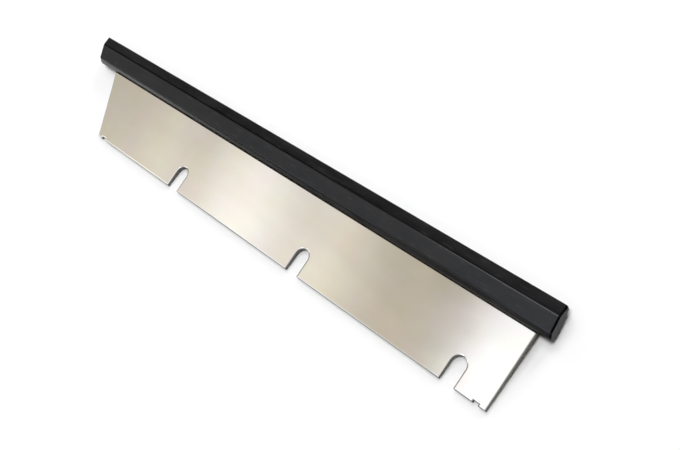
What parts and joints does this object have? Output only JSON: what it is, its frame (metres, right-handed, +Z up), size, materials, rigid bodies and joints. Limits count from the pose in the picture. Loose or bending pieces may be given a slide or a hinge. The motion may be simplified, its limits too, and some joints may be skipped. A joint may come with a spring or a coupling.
{
  "type": "press wash-up blade",
  "caption": "Flat steel strip with open round-ended slots in one long edge and a thick black moulded rubber wiper bonded along the other.",
  "frame": {"origin": "middle of the blade's box, on the floor it lies on", "axes": "+X along the blade towards its square end, +Y from the slotted edge to the rubber wiper, +Z up from the floor; the blade is tipped about X because it rests on the wiper's lower shoulder and the strip's slotted edge"},
  "size_m": [0.4034, 0.0604, 0.0085],
  "materials": {
    "stainless_strip": "fine satin, brushed along the strip",
    "black_rubber": "smooth moulded black rubber"
  },
  "bodies": {
    "root": {"carrier": "stainless_strip", "wiper": "black_rubber"}
  },
  "joints": []
}
